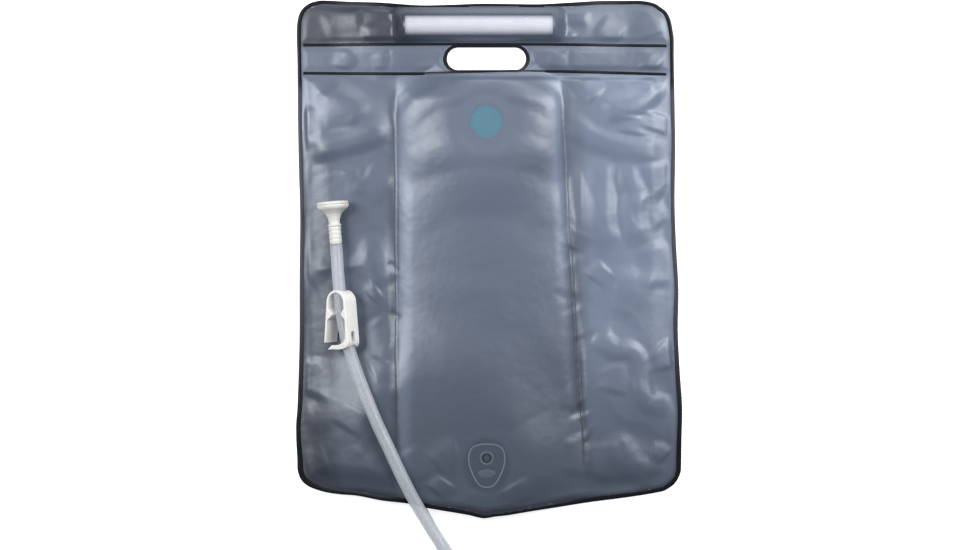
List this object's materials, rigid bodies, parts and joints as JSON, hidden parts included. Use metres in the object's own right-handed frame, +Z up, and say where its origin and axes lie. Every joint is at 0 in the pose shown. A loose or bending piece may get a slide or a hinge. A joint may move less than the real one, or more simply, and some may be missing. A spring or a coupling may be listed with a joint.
{
  "type": "camp shower bag",
  "caption": "Gravity camp shower bag with clear front, black back, grip tube, hose, pinch clamp and shower head, lying flat",
  "frame": {"origin": "middle of the bag's underside on the surface it lies on, without the hose and what is on it", "axes": "+Y from the outlet end to the hand slot end, +X to the right of the bag seen from its clear front, +Z up through the front film"},
  "size_m": [0.404, 0.7202, 0.0436],
  "materials": {
    "frosted_film": "frosted clear PVC film over the black back film, soft satin sheen",
    "black_film": "black PVC film, satin",
    "fused_film": "both films fused by the welding bar, glossy navy black",
    "tube_white": "extruded white tube, seen through the film",
    "fitting_dark": "moulded black PVC",
    "fitting_clear": "moulded smoke-clear PVC",
    "seal_rubber": "matt black rubber",
    "cap_teal": "moulded teal polyethylene",
    "hose_clear": "clear PVC hose, slightly milky",
    "moulded_white": "injection-moulded white plastic, satin gloss"
  },
  "bodies": {
    "bag": {"front_panel": "frosted_film", "back_panel": "black_film", "edge_weld": "fused_film", "slot_weld": "fused_film", "sleeve_weld": "fused_film", "chamber_weld": "fused_film", "grip_tube": "tube_white", "filler_neck": "fitting_dark", "outlet_flange": "fitting_clear", "outlet_elbow": "fitting_dark", "outlet_seal": "seal_rubber", "hose": "hose_clear", "clamp_hook_arm": "moulded_white", "head_body": "moulded_white", "rose_plate": "moulded_white", "rose_seal": "seal_rubber"},
    "seal": {"filler_gasket": "seal_rubber"},
    "plug": {"filler_cap": "cap_teal"},
    "clamp_arm": {"clamp_free_arm": "moulded_white"}
  },
  "joints": [
    {"name": "cap_travel", "type": "slide", "parent": "bag", "child": "seal", "axis": [0, 0, -1], "range_m": [0, 0.0046]},
    {"name": "cap_turn", "type": "hinge", "parent": "seal", "child": "plug", "pos_m": [-0.00324, 0.145, 0], "axis": [0, 0, -1], "range_deg": [0, 540]},
    {"name": "clamp_squeeze", "type": "hinge", "parent": "bag", "child": "clamp_arm", "pos_m": [-0.15675, -0.03345, 0.02407], "axis": [-0.6424, -0.0224, 0.766], "range_deg": [0, 14], "stiffness_Nm_per_rad": 0.3, "deforming": ["hose"]}
  ],
  "couplings": [
    {"joint": "cap_travel", "follows": "cap_turn", "m_per_rad": 0.0004775}
  ]
}
